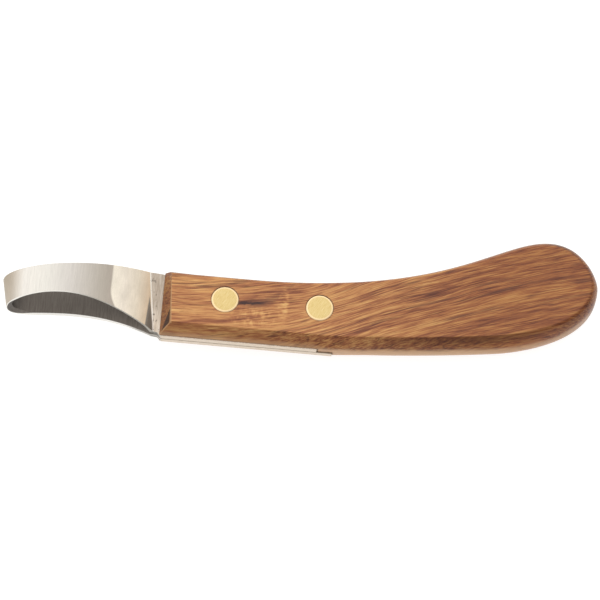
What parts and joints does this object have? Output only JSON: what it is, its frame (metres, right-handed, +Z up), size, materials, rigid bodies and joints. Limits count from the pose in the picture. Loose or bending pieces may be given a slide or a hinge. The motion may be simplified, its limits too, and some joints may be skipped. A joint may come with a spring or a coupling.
{
  "type": "loop hoof knife",
  "caption": "Loop hoof knife: sharpened steel loop on a doubled tang, brass-riveted into a slotted, curved wooden handle with a rounded butt.",
  "frame": {"origin": "on the surface the tool lies on, under the middle of its bounding box", "axes": "+X along the tang, from the loop's nose to the butt; +Y across the handle, from the belly to the curved-up crest of the butt; +Z up, through the handle's thickness, with the tool lying on its side"},
  "size_m": [0.2084, 0.048, 0.0222],
  "materials": {
    "handle_wood": "oiled hardwood, satin to semi-gloss",
    "blade_steel": "brushed, polished near the neck",
    "rivet_brass": "sanded flush, finely brushed"
  },
  "bodies": {
    "root": {"handle": "handle_wood", "loop_blade": "blade_steel", "front_rivet_tube": "rivet_brass", "front_rivet_pin": "rivet_brass", "rear_rivet_tube": "rivet_brass", "rear_rivet_pin": "rivet_brass"}
  },
  "joints": []
}
